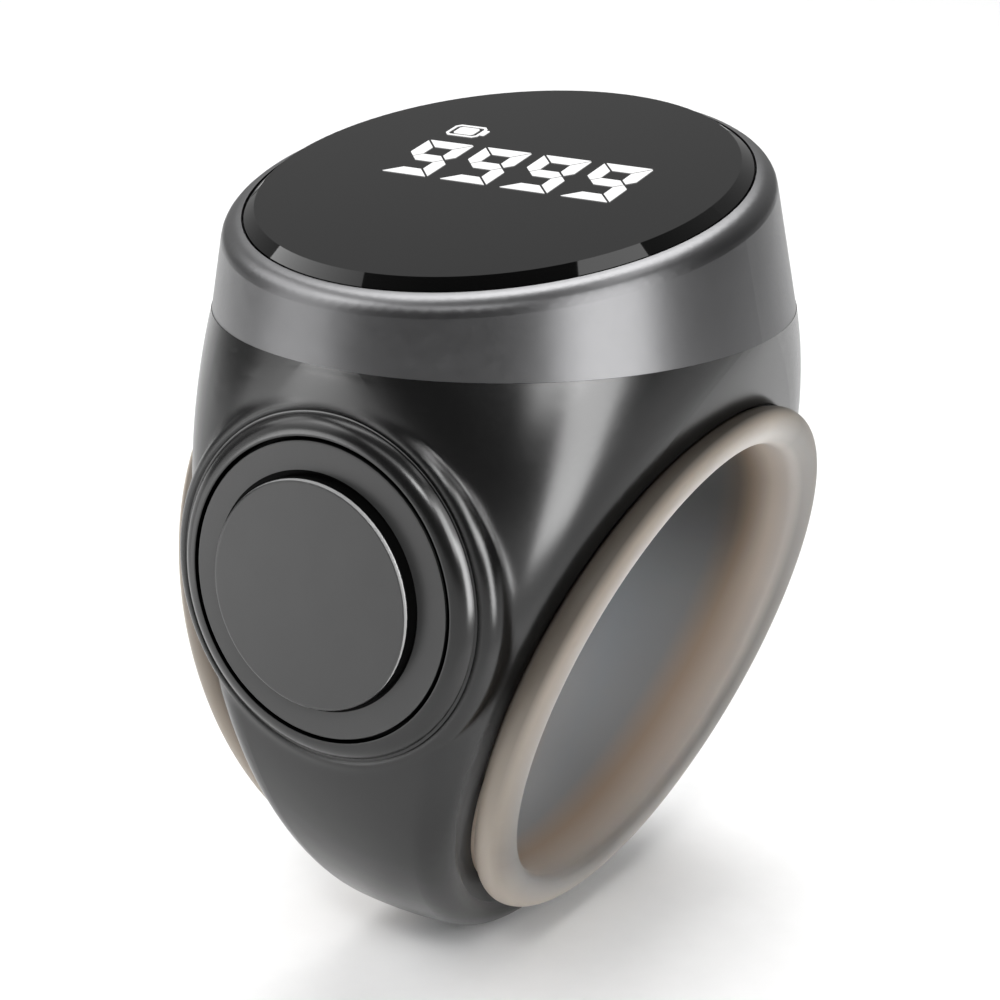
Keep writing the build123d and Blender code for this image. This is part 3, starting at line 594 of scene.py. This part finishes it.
def join(pieces, name):
    """Joins the pieces to one object and lays it in the display's plane."""
    bpy.ops.object.select_all(action="DESELECT")
    for piece in pieces:
        piece.select_set(True)
    bpy.context.view_layer.objects.active = pieces[0]
    bpy.ops.object.join()
    whole = bpy.context.object
    whole.name = whole.data.name = name
    whole.data.transform(to_display)
    return whole


print("display tilt:", round(math.degrees(display_tilt), 2))

# %% One digit and its copies
wide, tall, half, digit_pitch = 2.33 * mm, 3.67 * mm, 3.67 * mm / 2, 2.96 * mm
digit_left, digit_bottom, segment_gap = -5.18 * mm, -1.03 * mm, 0.1 * mm
bar, cut = stroke, segment_gap * math.sqrt(0.5)

top = [(cut, tall), (wide - cut, tall), (wide - bar - cut, tall - bar), (bar + cut, tall - bar)]
upper_left = [(0, tall - cut), (bar, tall - bar - cut), (bar, half + bar / 2 + cut), (bar / 2, half + cut),
              (0, half + bar / 2 + cut)]
middle = [(bar / 2 + cut, half), (bar + cut, half + bar / 2), (wide - bar - cut, half + bar / 2),
          (wide - bar / 2 - cut, half), (wide - bar - cut, half - bar / 2), (bar + cut, half - bar / 2)]
upper_right = [(wide - x, y) for x, y in upper_left]
lower_right = [(wide - x, tall - y) for x, y in upper_left]
bottom = [(x, tall - y) for x, y in top]
segments = [top, upper_left, upper_right, middle, lower_right, bottom]
digits = [join([flat_shape(corners, (digit_left, digit_bottom)) for corners in segments], "lit_digit_1")]
along = to_display.to_3x3() @ Vector((digit_pitch, 0, 0))
for number in (2, 3, 4):
    copy = digits[0].copy()
    copy.data = digits[0].data.copy()
    copy.name = copy.data.name = "lit_digit_%d" % number
    copy.data.transform(Matrix.Translation(along * (number - 1)))
    bpy.context.collection.objects.link(copy)
    digits.append(copy)
print("digits:", len(digits), "segments each:", len(segments))

# %% Charge symbol
symbol_x, symbol_y, symbol_length, symbol_width = -4.17 * mm, 4.04 * mm, 1.66 * mm, 1.2 * mm
symbol_line, symbol_corner = 0.12 * mm, 0.2 * mm
nub_length, nub_width, nub_corner = 0.22 * mm, symbol_width * 0.45, symbol_line / 3
end_gap, side_gap = 0.2 * mm, 0.11 * mm


def block(length, width, corner):
    """Corners of a rectangle with cut corners, round its middle."""
    a, b = length / 2, width / 2
    return [(-a, corner - b), (corner - a, -b), (a - corner, -b), (a, corner - b),
            (a, b - corner), (a - corner, b), (corner - a, b), (-a, b - corner)]


rim = flat_shape(block(symbol_length, symbol_width, symbol_corner), (symbol_x, symbol_y))
start_edit("FACE")
bpy.ops.object.mode_set(mode="OBJECT")
# The top and the bottom are inset, and bridging the two insets opens the rim
for face in rim.data.polygons:
    face.select = abs(face.normal.z) > 0.5
bpy.ops.object.mode_set(mode="EDIT")
bpy.ops.mesh.inset(thickness=symbol_line)
bpy.ops.mesh.bridge_edge_loops()
bpy.ops.object.mode_set(mode="OBJECT")
charge_length = symbol_length - 2 * symbol_line - 2 * end_gap
charge_width = symbol_width - 2 * symbol_line - 2 * side_gap
charge = flat_shape(block(charge_length, charge_width, side_gap), (symbol_x, symbol_y))
nub = flat_shape(block(nub_length, nub_width, nub_corner),
                 (symbol_x + symbol_length / 2 + nub_length / 2, symbol_y))
symbol = join([rim, charge, nub], "lit_charge_symbol")
print("symbol points:", len(symbol.data.vertices))

# %% Lit skin
# Light through a milky diffuser: a white as bright as paper, with a faint unevenness
glow_cloud = 1.2 * mm

lit, tree, out = new_material("lit_white_diffuser")
place = add_node(tree, "ShaderNodeTexCoord")
cloud = add_node(tree, "ShaderNodeTexNoise", values={"Scale": 1 / glow_cloud, "Detail": 1.0},
                 links={"Vector": (place, "Object")})
glow = add_node(tree, "ShaderNodeMapRange", values={"To Min": 0.93, "To Max": 1.05},
                links={"Value": (cloud, "Fac")})
skin = add_node(tree, "ShaderNodeBsdfPrincipled",
                values={"Base Color": linear("#202020"), "Roughness": 0.4,
                        "Emission Color": linear("#ffffff")},
                links={"Emission Strength": (glow, "Result")})
tree.links.new(skin.outputs["BSDF"], out.inputs["Surface"])
for piece in digits + [symbol]:
    piece.data.materials.append(lit)
    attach(piece, "ring")
print("lit pieces:", len(digits) + 1)

# %% [markdown]
# ## Floor and room
# The counter stands on white paper that keeps its shadow. The room round it is dim, and brighter towards the
# rear left and above, so that the lens and the body have something to reflect.

# %% Floor
floor_side, fibre_size = 3.0, 1.5 * mm

bpy.ops.object.select_all(action="DESELECT")
bpy.ops.mesh.primitive_plane_add(size=floor_side, location=(0, 0, cad_box[0][2]))
floor = bpy.context.object
floor.name = "studio_floor"
# Matt white paper: even and without shine, with faint fibres
paper, tree, out = new_material("matt_white_paper")
place = add_node(tree, "ShaderNodeTexCoord")
fibre = add_node(tree, "ShaderNodeTexNoise", values={"Scale": 1 / fibre_size},
                 links={"Vector": (place, "Object")})
tint = add_node(tree, "ShaderNodeMix", {"data_type": "RGBA"},
                {colour_a: linear("#f2f2f2"), colour_b: linear("#f6f6f6")}, {mix_by: (fibre, "Fac")})
skin = add_node(tree, "ShaderNodeBsdfDiffuse", links={"Color": (tint, mixed_colour)})
tree.links.new(skin.outputs["BSDF"], out.inputs["Surface"])
floor.data.materials.append(paper)
print("floor at", floor.location.z)

# %% Room
bright_side, dim, bright = (-0.53, 0.68, 0.5), 0.035, 0.36

world = bpy.data.worlds.new("studio_room")
bpy.context.scene.world = world
world.use_nodes = True
tree = world.node_tree
tree.nodes.clear()
out = tree.nodes.new("ShaderNodeOutputWorld")
place = add_node(tree, "ShaderNodeTexCoord")
facing = add_node(tree, "ShaderNodeVectorMath", {"operation": "DOT_PRODUCT"}, {1: bright_side},
                  {0: (place, "Generated")})
level = add_node(tree, "ShaderNodeMapRange", {"interpolation_type": "SMOOTHSTEP"},
                 {"From Min": 0.1, "From Max": 1.0, "To Min": dim, "To Max": bright},
                 {"Value": (facing, "Value")})
room = add_node(tree, "ShaderNodeBackground", values={"Color": linear("#ffffff")},
                links={"Strength": (level, "Result")})
tree.links.new(room.outputs["Background"], out.inputs["Surface"])
print("room from", dim, "to", bright)

# %% [markdown]
# ## Light and camera
# A black object is drawn by what it reflects. A broad soft panel on the left shapes the button side, small
# crest panels draw the lines on the mound, strips on the right draw the streak down the corner, the edges on
# that side and the bezel's highlight, and panels above catch the rim and the lens's bevel, one of them fading
# across its width. Flags keep a panel off the pieces that it would bleach. The last panel lights the paper
# behind up to white, and the paper throws some of that light back at the counter.

# %% Lamp helpers
usual_aim = (0, 0, 0.008)


def panel(name, azimuth, elevation, distance, size, radiance, aim=usual_aim, spread=180):
    """A soft panel that faces the aim point from a direction, as bright as the radiance given."""
    a, e = math.radians(azimuth), math.radians(elevation)
    away = Vector((math.sin(a) * math.cos(e), -math.cos(a) * math.cos(e), math.sin(e)))
    data = bpy.data.lights.new(name, "AREA")
    data.shape = "RECTANGLE"
    data.size, data.size_y = size
    data.spread = math.radians(spread)
    data.energy = radiance * math.pi * size[0] * size[1]
    lamp = bpy.data.objects.new(name, data)
    bpy.context.collection.objects.link(lamp)
    lamp.location = Vector(aim) + away * distance
    lamp.rotation_mode = "QUATERNION"
    lamp.rotation_quaternion = away.to_track_quat("Z", "Y")
    lamp.visible_camera = False
    return lamp


def keep_off(lamp, pieces):
    """A flag that keeps one lamp's light off some pieces, so that it shapes only the rest."""
    flag = bpy.data.collections.new("flag_of_" + lamp.name)
    lamp.light_linking.receiver_collection = flag
    for piece in pieces:
        flag.objects.link(piece)
    for entry in flag.collection_objects:
        entry.light_linking.link_state = "EXCLUDE"


def fade(lamp, start, end):
    """Makes a panel fade across its width, from one strength to the other."""
    lamp.data.use_nodes = True
    tree = lamp.data.node_tree
    spot = add_node(tree, "ShaderNodeNewGeometry")
    axes = add_node(tree, "ShaderNodeSeparateXYZ", links={"Vector": (spot, "Parametric")})
    level = add_node(tree, "ShaderNodeMapRange", values={"To Min": start, "To Max": end},
                     links={"Value": (axes, "X")})
    tree.links.new(level.outputs["Result"], find_node(tree, "ShaderNodeEmission").inputs["Strength"])


print("lamps aim at", usual_aim, "unless they say otherwise")

# %% Lamps
# Azimuth and elevation in degrees, distance, width and height in metres, radiance, aim point and spread
left_softbox = panel("left_softbox", -44, 0, 0.062, (0.036, 0.100), 1.3, (0, 0, 0.037))
crest_left = panel("crest_left", -31, 0, 0.062, (0.018, 0.018), 5.0, (0, 0, 0.013))
crest_right = panel("crest_right", 24, 42, 0.40, (0.10, 0.07), 18.0)
edge_strip = panel("edge_strip", 56, 30, 0.40, (0.16, 0.20), 10.0)
corner_strip = panel("corner_strip", 64, 0, 0.047, (0.016, 0.030), 11.0, (0, 0, 0.013))
bezel_strip = panel("bezel_strip", 68, 0, 0.047, (0.028, 0.066), 3.2, (0, 0, 0.030))
bevel_left = panel("bevel_left", -61, 39, 0.40, (0.39, 0.15), 2.9)
panel("bevel_right", 96, 66, 0.40, (0.13, 0.08), 2.4)
front_top = panel("front_top", 5, 50, 0.40, (0.24, 0.09), 2.6)
left_top = panel("left_top", -50, 48, 0.40, (0.14, 0.08), 3.0)
panel("floor_wash", -147, 75, 0.62, (0.60, 0.50), 1.8, (-0.07, 0.105, -0.013), 110)
fade(bevel_left, 1.0, 0.0)

# %% Flags
body, bezel, lens = nodes["body_shell"], nodes["top_bezel"], nodes["display_lens"]
flags = [(left_softbox, [lens]), (crest_left, [bezel, lens, nodes["button_cap"], liner, floor]),
         (crest_right, [bezel, lens, liner]), (edge_strip, [bezel, lens, liner, floor]),
         (corner_strip, [bezel, liner]), (bezel_strip, [body, liner, floor]),
         (front_top, [lens]), (left_top, [lens])]
for lamp, pieces in flags:
    keep_off(lamp, pieces)
print("flags:", len(flags))

# %% Camera
camera_place = Vector((56.332, -86.133, 42.38)) * mm
right, up, back = (0.83574, 0.54913, 0.0), (-0.18364, 0.27949, 0.94242), (0.51751, -0.78762, 0.33443)

camera_data = bpy.data.cameras.new("camera")
camera_data.lens, camera_data.sensor_width = 90.0, 36.0
camera_data.clip_start = 5 * mm
camera = bpy.data.objects.new("camera", camera_data)
bpy.context.collection.objects.link(camera)
camera.matrix_world = Matrix.Translation(camera_place) @ Matrix((right, up, back)).transposed().to_4x4()
bpy.context.scene.camera = camera
bpy.context.scene.view_settings.view_transform = "Standard"
print("camera at", [round(v, 4) for v in camera.location])
